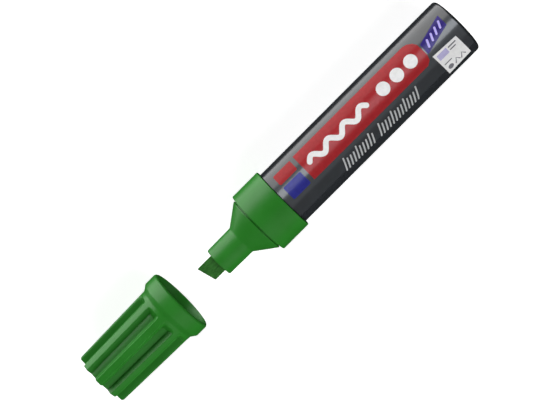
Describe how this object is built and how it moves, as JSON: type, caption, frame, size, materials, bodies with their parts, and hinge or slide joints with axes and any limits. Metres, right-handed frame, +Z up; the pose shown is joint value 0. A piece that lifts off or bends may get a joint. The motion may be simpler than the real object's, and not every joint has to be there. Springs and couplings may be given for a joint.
{
  "type": "whiteboard marker",
  "caption": "Broad whiteboard marker with a slanted chisel nib, dark tubular barrel, green front section and a ribbed green cap, shown pulled off in line with the nib.",
  "frame": {"origin": "on the surface it lies on, under the middle of the whole object with its cap off", "axes": "+X along the marker's axis from the nib to the closed rear end, +Z up with the marker lying down, +Y towards the long corner of the nib"},
  "size_m": [0.171, 0.025, 0.0251],
  "materials": {
    "barrel_anthracite": "gloss, with printed graphics",
    "green_plastic": "satin moulded",
    "green_fibre": "ink-soaked compressed fibre",
    "reservoir_fibre": "ink-soaked fibre",
    "clear_film": "thin film",
    "natural_plastic": "undyed moulded"
  },
  "bodies": {
    "marker": {"barrel": "barrel_anthracite", "front_section": "green_plastic", "nib": "green_fibre", "ink_reservoir": "reservoir_fibre", "reservoir_film": "clear_film"},
    "cap": {"cap_shell": "green_plastic", "cap_liner": "natural_plastic"}
  },
  "joints": [
    {"name": "cap_slide", "type": "slide", "parent": "marker", "child": "cap", "axis": [1, 0, 0], "range_m": [0, 0.03675]}
  ]
}
